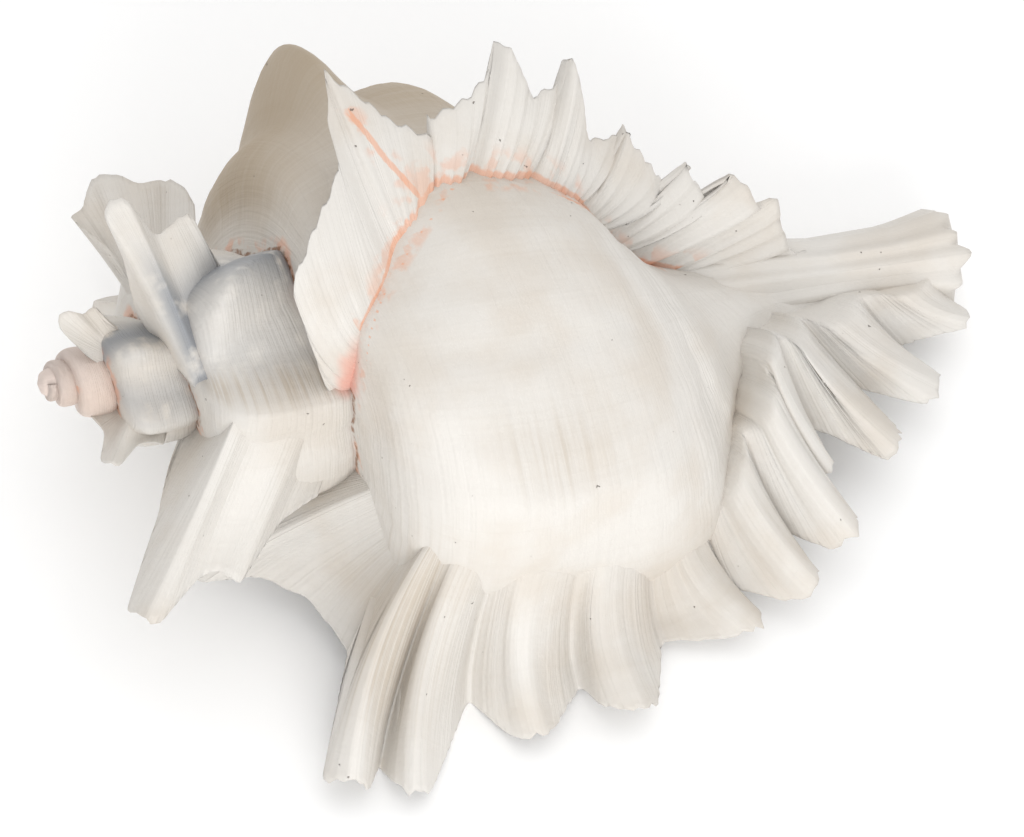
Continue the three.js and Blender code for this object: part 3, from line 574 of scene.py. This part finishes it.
# the pillar from the apex to the end of the canal: its line is radius and depth below the apex
pillar = {
    "line": [(0, 0.3), (2.2, 1.2), (3.2, 3.5), (3.4, 16), (8, 45), (10, 80), (11, 125), (10, 150), (8, 166),
             (8.5, 182), (11, 196), (0, 199)],
    "sides": 84, "rings": 60, "place": 8.5, "apexDepth": 20.0, "apexGrowth": -1500.0, "canalGrowth": -20.0,
    "slitAzimuth": -118.0, "slitWidth": 11.0, "slitTop": 122.0, "slitEase": 14.0, "slitDepth": 0.72,
    # ribs along the canal with their wander as wave and turn; the torn rim with its depths and wave
    "grain": 10.0, "ribCount": 12, "ribHeight": 0.05, "ribWander": (40, 1.5),
    "tear": 2.2, "tearDepth": (184.0, 196.0), "tearWave": 16, "tearRib": 0.4, "tearInset": 0.6, "seed": 91,
}


def pillarSheet():
    sides, rings, seed = (pillar[k] for k in ("sides", "rings", "seed"))
    line = np.array(pillar["line"], float)
    run = np.linspace(0, len(line) - 1, rings)
    radius = np.interp(run, np.arange(len(line)), line[:, 0])
    depth = np.interp(run, np.arange(len(line)), line[:, 1])
    azimuth = np.linspace(0, 360, sides, endpoint=False)
    away = (azimuth - pillar["slitAzimuth"] + 180) % 360 - 180
    slitTop = pillar["slitTop"]
    opening = smoothStep(depth, slitTop, slitTop + pillar["slitEase"])[:, None]
    slit = 1 - pillar["slitDepth"] * opening * bell(away / pillar["slitWidth"])[None]
    wanderWave, wander = pillar["ribWander"]
    ribWave = np.cos(np.radians(pillar["ribCount"] * away) + wander * lineNoise(away, wanderWave, seed))
    share = slit * (1 + pillar["ribHeight"] * opening * ribWave[None])
    # the rim is torn, and less so towards the axis
    rim = pillar["tear"] * smoothStep(depth, *pillar["tearDepth"]) * radius / line[-2, 0]
    torn = lineNoise(away, pillar["tearWave"], seed + 1) + pillar["tearRib"] * ribWave
    torn = depth[:, None] + rim[:, None] * (torn - pillar["tearInset"])[None]
    points = growthPoint(radius[:, None] * share, torn, azimuth[None] + 0 * share).reshape(-1, 3)
    growth = np.where(points[:, 2] > -pillar["apexDepth"],
                      pillar["apexGrowth"], pillar["canalGrowth"])
    # colour lines run along the canal, the same on both sides of the slit
    around = np.tile(pillar["grain"] * np.radians(np.abs(away)), rings)
    marks = {"growth": growth, "place": np.full(len(points), pillar["place"]), "ray": around}
    return points, ringFaces(rings, sides), marks


# volume under the faces, to find sheets that came out inside out
def signedVolume(points, faces):
    a, b, c, d = (points[faces[:, k]] for k in range(4))
    return (np.einsum("ij,ij->i", a, np.cross(b, c)) + np.einsum("ij,ij->i", a, np.cross(c, d))).sum() / 6


def joinSheets():
    keys = ("growth", "place", "row", "rowLength", "ray", "fin", "inside")
    allPoints, allFaces, allMarks, shift = [], [], {k: [] for k in keys}, 0
    seed, seedStep = frond["seed"], frond["seedStep"]
    closed = [varixSheet(v, seed + seedStep * i) for i, v in enumerate(varices)] + [pillarSheet()]
    for points, faces, marks in closed + [mouthHollow()]:
        if len(allPoints) < len(closed) and signedVolume(points, faces) < 0:
            faces = faces[:, ::-1]
        allPoints.append(points)
        allFaces += [[c + shift for c in f] for f in np.asarray(faces, object).tolist()]
        for key in keys:
            allMarks[key].append(marks.get(key, np.zeros(len(points))))
        shift += len(points)
    return meshObject("frondSheets", toRest(np.vstack(allPoints)), allFaces,
                      {k: np.concatenate(v) for k, v in allMarks.items()})


frondSheets = joinSheets()
print("fronds, pillar and mouth:", len(frondSheets.data.vertices), "points")


# aragonite shell, weathered on a beach: chalky cream with fine growth lines, orange in the seams,
# blue-grey worn patches on the spire and a tan back that is partly painted shade; a soft, broad gloss only
look = {
    "cream": "#D5D1CB", "warm": "#C8BDAF", "blueGrey": "#8C8F94", "tan": "#A39178", "orange": "#DE9468",
    "coral": "#E27E5E", "brown": "#8A5A34", "speck": "#54483C", "pink": "#DDAE9A",
    "ior": 1.55, "roughness": (0.45, 0.67), "roughPatch": (0.3, 0.7),
    # grains as size in mm and detail
    "grains": {"patch": (22.0, 5.0), "tuft": (5.0, 3.0), "fine": (1.4, 3.0), "speck": (1.9, 2.0)},
    # growth lines follow the lip; cords run along the growth on the whorl and out along the fronds
    "follow": {"lines": {"growth": 0.9, "place": 0.35, "rowLength": 0.9},
               "cords": {"growth": 0.02, "place": 11.0, "ray": 1.1}},
    "followDetail": 3.0,
    # each share is one pattern, eased between two limits
    "eased": {"warm": ("patch", 0.42, 0.7), "worn": ("tuft", 0.24, 0.5), "lines": ("lines", 0.52, 0.74),
              "tanLines": ("lines", 0.2, 0.62), "cords": ("cords", 0.42, 0.66), "tufts": ("tuft", 0.5, 0.62),
              "fine": ("fine", 0.36, 0.6), "specks": ("speck", 0.765, 0.785)},
    # or nearness to a seam, over a reach in mm that wanders with the fine grain
    "near": {"seamLine": ("seamGap", 1.1), "seamTufts": ("seamGap", 7.0), "sutureLine": ("sutureGap", 0.9),
             "sutureGlow": ("sutureGap", 4.0)},
    "nearStart": 0.35, "wander": 1.2,
    # laid over the cream one after another: share, second share, strength, colour
    "layers": [("warm", "all", 0.5, "warm"), ("blueGrey", "worn", 0.95, "blueGrey"),
               # the tan share is partly painted shade on the back; the brown share holds painted shade above
               # a spire crest as well as brown patches
               ("tan", "tanLines", 0.4, "tan"), ("tan", "all", 0.88, "tan"),
               ("brown", "cords", 0.4, "tan"), ("brown", "all", 0.2, "tan"), ("lines", "all", 0.035, "tan"),
               ("pink", "all", 0.28, "pink"), ("sutureGlow", "tufts", 0.5, "orange"),
               ("sutureLine", "fine", 0.8, "brown"), ("seamTufts", "tufts", 0.32, "orange"),
               ("seamLine", "all", 0.55, "orange"), ("coral", "all", 0.5, "coral"),
               ("specks", "all", 0.7, "speck")],
    # heights in mm, drawn a little strong so that they show at this distance
    "heights": {"lines": 0.06, "cords": 0.24, "fine": 0.1}, "pitDepth": 0.3,
}


def shellMaterial():
    material = bpy.data.materials.new("aragoniteShell")
    material.use_nodes = True
    tree = material.node_tree
    tree.nodes.clear()
    maths, mapped, noise = "ShaderNodeMath", "ShaderNodeMapRange", "ShaderNodeTexNoise"
    spot = addNode(tree, "ShaderNodeTexCoord")["Object"]
    mark = {key: addNode(tree, "ShaderNodeAttribute", attribute_name=key)["Fac"]
            for key in ("growth", "place", "rowLength", "ray", "seamGap", "sutureGap",
                        "blueGrey", "tan", "brown", "pink", "coral")}
    pattern = {}
    for key, (sizeMm, detail) in look["grains"].items():
        pattern[key] = addNode(tree, noise, {"Vector": spot, "Scale": 1 / (sizeMm * mm), "Detail": detail})[0]
    for key, scales in look["follow"].items():
        along = [addNode(tree, maths, {0: mark[name], 1: scale}, operation="MULTIPLY")[0]
                 for name, scale in scales.items()]
        along = addNode(tree, "ShaderNodeCombineXYZ", dict(enumerate(along)))[0]
        pattern[key] = addNode(tree, noise, {"Vector": along, "Scale": 1.0,
                                             "Detail": look["followDetail"]})[0]

    share = {**mark, "all": 1.0}
    for key, (name, low, high) in look["eased"].items():
        share[key] = addNode(tree, mapped, {"Value": pattern[name], "From Min": low, "From Max": high},
                             interpolation_type="SMOOTHSTEP")[0]
    wander = addNode(tree, maths, {0: pattern["fine"], 1: look["wander"]}, operation="MULTIPLY")[0]
    for key, (gap, reach) in look["near"].items():
        near = addNode(tree, maths, {0: mark[gap], 1: wander}, operation="SUBTRACT")[0]
        share[key] = addNode(tree, mapped, {"Value": near, "From Min": reach * look["nearStart"],
                                            "From Max": reach, "To Min": 1.0, "To Max": 0.0},
                             interpolation_type="SMOOTHSTEP")[0]

    colour = srgb(look["cream"])
    for first, second, strength, name in look["layers"]:
        laid = addNode(tree, maths, {0: share[first], 1: share[second]}, operation="MULTIPLY")[0]
        laid = addNode(tree, maths, {0: laid, 1: strength}, operation="MULTIPLY")[0]
        # sockets of a colour mix: 0 is the factor, 6 and 7 are the colours
        colour = addNode(tree, "ShaderNodeMix", {0: laid, 6: colour, 7: srgb(look[name])},
                         data_type="RGBA")[2]
    low, high = look["roughPatch"]
    smoothest, roughest = look["roughness"]
    rough = addNode(tree, mapped, {"Value": pattern["patch"], "From Min": low, "From Max": high,
                                   "To Min": smoothest, "To Max": roughest})[0]

    height = 0.0
    for key, scale in look["heights"].items():
        height = addNode(tree, maths, {0: pattern[key], 1: scale, 2: height}, operation="MULTIPLY_ADD")[0]
    height = addNode(tree, maths, {0: share["specks"], 1: -look["pitDepth"], 2: height},
                     operation="MULTIPLY_ADD")[0]
    bump = addNode(tree, "ShaderNodeBump", {"Strength": 1.0, "Distance": mm, "Height": height})[0]
    surface = addNode(tree, "ShaderNodeBsdfPrincipled", {"Base Color": colour, "Roughness": rough,
                                                         "Normal": bump, "IOR": look["ior"]})[0]
    addNode(tree, "ShaderNodeOutputMaterial", {"Surface": surface})
    return material


def growShell():
    chain = meshObject("murexShell", np.column_stack([chainSpot, chainPlace]), [],
                       {"outRadius": chainOut[:, 0], "outDepth": chainOut[:, 1]})
    tree = coilTree()
    growing = chain.modifiers.new("coilGrowth", "NODES")
    growing.node_group = tree
    values = {**coil, "fronds": frondSheets, "material": shellMaterial()}
    for name, (_, key) in coilInputs.items():
        growing[tree.interface.items_tree[name].identifier] = values[key]
    grown = bpy.data.meshes.new_from_object(chain.evaluated_get(bpy.context.evaluated_depsgraph_get()))
    chain.modifiers.remove(growing)
    chain.data = grown
    grown.name = "murexShell"
    bpy.data.objects.remove(frondSheets)
    return chain


shell = growShell()
shellMesh = shell.data
triangles = sum(len(p.vertices) - 2 for p in shellMesh.polygons)
print("shell grown:", len(shellMesh.vertices), "points,", triangles, "triangles")

# where colour gathers, by growth angle, place on the outline and row of a frond
tint = {
    # a gap that no colour reaches, and the places and steps at which the whorl's radius is read
    "far": 30.0, "ladder": (1.6, 9.9, 90),
    "seamBehind": -3.0, "seamStretch": 3.0, "seamStart": 1.9, "seamEnd": 8.4, "grooveStretch": 2.5,
    "suturePlace": 2.4, "sutureFrom": -1150,
    # patches on the whorl: strength, growth angle and its spread, then place and its spread
    # tan: partly painted shade on the back, which turns away from the light, partly real brownish colour
    "tan": (-178, 44), "tanAndShadeRise": (0.3, 1.6),
    "brown": [(0.7, -8, 26, 1.9, 0.7), (0.7, -53, 8, 3.9, 0.6)],
    # crest: painted shade, brown in the hollow just above a spire crest: strength, growth angle and its
    # spread
    "crest": (1.2, -428, 6), "crestShadeRise": (1.2, 2.0),
    "blueGrey": [(1, -486, 15), (0.25, -440, 20), (0.95, -838, 22), (0.5, -775, 20)],
    # the back of the lip's fronds and the face of the hooked frond
    "lipBrown": (2.1, 0.7), "lipRow": (0.5, 0.95), "hookRow": (0.35, 0.8), "hookRise": (1.2, 2.4),
    "pinkPast": (960, 1120), "coralReach": (1.2, 4.2),
    # lines as right, up and out from the apex in mm, seen square to the back
    "coralLine": [(61.2, 10.5, 14.5), (61.2, 6.0, 13.0), (61.8, 0.5, 8.0)],
    "grooveLine": [(61.6, 53.0), (65.5, 48.5), (68.8, 44.0), (73.0, 39.5), (75.2, 37.0)],
}


# radius of the whorl at each growth angle and depth, past the shoulder
def whorlRadius(growth, depth):
    ladder = np.linspace(*tint["ladder"])
    spots = outlineAt(ladder)
    result = np.zeros(len(growth))
    for step in np.unique(np.round(growth)):
        at = np.round(growth) == step
        size = sizeAt(step)
        result[at] = np.interp(depth[at], spots[:, 1] * size, (spots[:, 0] + ridgeAt(step, ladder)) * size)
    return result


# distance of each point from a line of points
def lineGap(points, line):
    gaps = []
    for start, end in zip(np.array(line[:-1], float), np.array(line[1:], float)):
        way = end - start
        share = np.clip((points - start) @ way / (way @ way), 0, 1)
        gaps.append(np.linalg.norm(points - start - share[:, None] * way, axis=1))
    return np.min(gaps, axis=0)


# soft patches of colour, 0 to 1; the tan is partly painted shade and the crest's brown is painted shade
def softPatches(g, p, row, fin, onWhorl, seen):
    tanAndShadeAt, tanAndShadeSpread = tint["tan"]
    crestShadeShare, crestShadeAt, crestShadeSpread = tint["crest"]
    lipAt, lipSpread = tint["lipBrown"]
    lipBack = ((g == varices[0]["growth"]) & (fin < 0)) * (1 - smoothStep(row, *tint["lipRow"]))
    brown = lipBack * bell((p - lipAt) / lipSpread)
    # painted shade: brown in the hollow above the spire's crest, which faces away from the light
    brown = brown + crestShadeShare * onWhorl * bell((g - crestShadeAt) / crestShadeSpread) * smoothStep(
        p, *tint["crestShadeRise"])
    for share, at, spread, placeAt, placeSpread in tint["brown"]:
        brown = brown + share * onWhorl * bell((g - at) / spread) * bell((p - placeAt) / placeSpread)
    hookFace = ((g == varices[4]["growth"]) & (fin > 0)) * smoothStep(p, *tint["hookRise"])
    blueGrey = hookFace * (1 - smoothStep(row, *tint["hookRow"]))
    for share, at, spread in tint["blueGrey"]:
        blueGrey = blueGrey + share * onWhorl * bell((g - at) / spread)
    coralGap = lineGap(seen, tint["coralLine"])
    return {
        # partly painted shade: the back, turned away from the light, is darkened to tan
        "tan": bell((g - tanAndShadeAt) / tanAndShadeSpread) * smoothStep(p, *tint["tanAndShadeRise"]) * onWhorl,
        "brown": brown, "blueGrey": blueGrey,
        "pink": smoothStep(-g, *tint["pinkPast"]) * (fin == 0),
        "coral": (fin >= 0) * (1 - smoothStep(coralGap, *tint["coralReach"])),
    }


# distances from the seams in mm, and the patches, as attributes that the material reads
def layMarks():
    count, far = len(shellMesh.vertices), tint["far"]
    mark = {}
    for name in ("growth", "place", "row", "fin", "inside"):
        mark[name] = np.zeros(count, np.float32)
        shellMesh.attributes[name].data.foreach_get("value", mark[name])
    spots = np.zeros(count * 3)
    shellMesh.vertices.foreach_get("co", spots)
    spots = spots.reshape(-1, 3)
    spots[:, 2] = np.maximum(spots[:, 2], 0)  # worn flat where it stands on the floor
    shellMesh.vertices.foreach_set("co", spots.ravel())
    own = (spots / mm - apexPlace) @ shellTurn
    seen = (spots / mm - apexPlace) @ viewTurn
    radius, depth = np.hypot(own[:, 0], own[:, 1]), -own[:, 2]
    azimuth = np.degrees(np.arctan2(own[:, 1], own[:, 0]))
    g, p, row, fin = mark["growth"], mark["place"], mark["row"], mark["fin"]
    onWhorl = (fin == 0) & (mark["inside"] == 0)

    # seam in front of the back varix: on its face how far it stands out, on the whorl how far ahead
    back = varices[1]
    root = back["growth"] + back["sweep"] * np.maximum(0, 1 - p / back["sweepEnd"])
    ahead = np.radians(g - root) * radius - frond["rootThickness"] / 2
    onFace = (g == back["growth"]) & (fin > 0)
    proud = radius - whorlRadius(coil["lipAzimuth"] - azimuth, depth)
    whorlGap = np.where(onWhorl & (ahead > tint["seamBehind"]),
                        np.abs(ahead) * tint["seamStretch"], far)
    seamGap = np.where(onFace, np.abs(proud), whorlGap)
    past = (onWhorl & (p < 0)) | (onFace & (p < tint["seamStart"])) | (p > tint["seamEnd"])
    seamGap = np.where(past, far, seamGap)
    groove = lineGap(seen[:, :2], tint["grooveLine"]) + np.where(onFace, 0, far)
    seamGap = np.minimum(seamGap, groove * tint["grooveStretch"])

    # suture: how far the ramp stands out from the whorl before it
    stands = radius - whorlRadius(g - 360, depth)
    onRamp = onWhorl & (p < tint["suturePlace"]) & (g > tint["sutureFrom"])
    sutureGap = np.where(onRamp, np.abs(stands), far)

    patches = softPatches(g, p, row, fin, onWhorl, seen)
    for key, values in {"seamGap": np.clip(seamGap, 0, far), "sutureGap": np.clip(sutureGap, 0, far),
                        **{k: np.clip(v, 0, 1) for k, v in patches.items()}}.items():
        shellMesh.attributes.new(key, "FLOAT", "POINT").data.foreach_set("value", values.astype(np.float32))
    shellMesh.update()


layMarks()
print("colour marks laid")

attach(shell, "root")
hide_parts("shell")

# pale floor: a matt white board
ground = {"half": 4.0, "colour": "#FFFFFF", "roughness": 0.9}
half = ground["half"]
corners = np.array([(-half, -half, 0), (half, -half, 0), (half, half, 0), (-half, half, 0)], float)
floor = meshObject("floor", corners, [(0, 1, 2, 3)], {})
board = bpy.data.materials.new("whiteBoard")
board.use_nodes = True
board.node_tree.nodes.clear()
matt = addNode(board.node_tree, "ShaderNodeBsdfPrincipled", {"Base Color": srgb(ground["colour"]),
                                                             "Roughness": ground["roughness"]})[0]
addNode(board.node_tree, "ShaderNodeOutputMaterial", {"Surface": matt})
floor.data.materials.append(board)

# camera: square to the photograph's own right, up and out, on a long lens
view = {
    "mmPerPixel": 0.2, "apexPixel": (44.0, 385.0), "image": (1024, 837), "distance": 1.6, "depth": -28.0,
    "sensor": 36.0, "clipEnd": 20.0,
}
imageWidth, imageHeight = view["image"]
apexRight, apexDown = view["apexPixel"]
perPixel = view["mmPerPixel"]
offset = np.array([(imageWidth / 2 - apexRight) * perPixel, (apexDown - imageHeight / 2) * perPixel,
                   view["depth"]])
target = (viewTurn @ offset + apexPlace) * mm
camera = bpy.data.objects.new("camera", bpy.data.cameras.new("camera"))
camera.data.sensor_width = view["sensor"]
camera.data.lens = view["sensor"] * view["distance"] / (imageWidth * perPixel * mm)
camera.data.clip_end = view["clipEnd"]
stand = Matrix([list(viewTurn[i]) for i in range(3)]).to_4x4()
stand.translation = Vector(target + viewTurn[:, 2] * view["distance"])
camera.matrix_world = stand
bpy.context.scene.collection.objects.link(camera)
bpy.context.scene.camera = camera
bpy.context.scene.view_settings.view_transform = "Standard"  # a plain response, so that white stays white

# studio light: power, side, direction and distance of a broad low softbox in front and a wider one
# above, in an even white room
light = {
    "front": (5.8, 0.8, (0.12, -0.95, 0.34), 1.0), "above": (6.0, 1.8, (0.2, 0.42, 0.9), 1.3),
    "room": 0.8, "roomColour": "#FFFFFF",
}
for name in ("front", "above"):
    power, side, direction, away = light[name]
    lamp = bpy.data.lights.new(name, "AREA")
    lamp.energy = power
    lamp.size = side
    box = bpy.data.objects.new(name, lamp)
    toward = Vector(direction).normalized()
    box.location = Vector(target) + toward * away
    box.rotation_euler = toward.to_track_quat("Z", "Y").to_euler()
    bpy.context.scene.collection.objects.link(box)
room = bpy.data.worlds.new("room")
room.use_nodes = True
room.node_tree.nodes.clear()
air = addNode(room.node_tree, "ShaderNodeBackground", {"Color": srgb(light["roomColour"]),
                                                       "Strength": light["room"]})[0]
addNode(room.node_tree, "ShaderNodeOutputWorld", {"Surface": air})
bpy.context.scene.world = room
print("camera, floor and lights set")
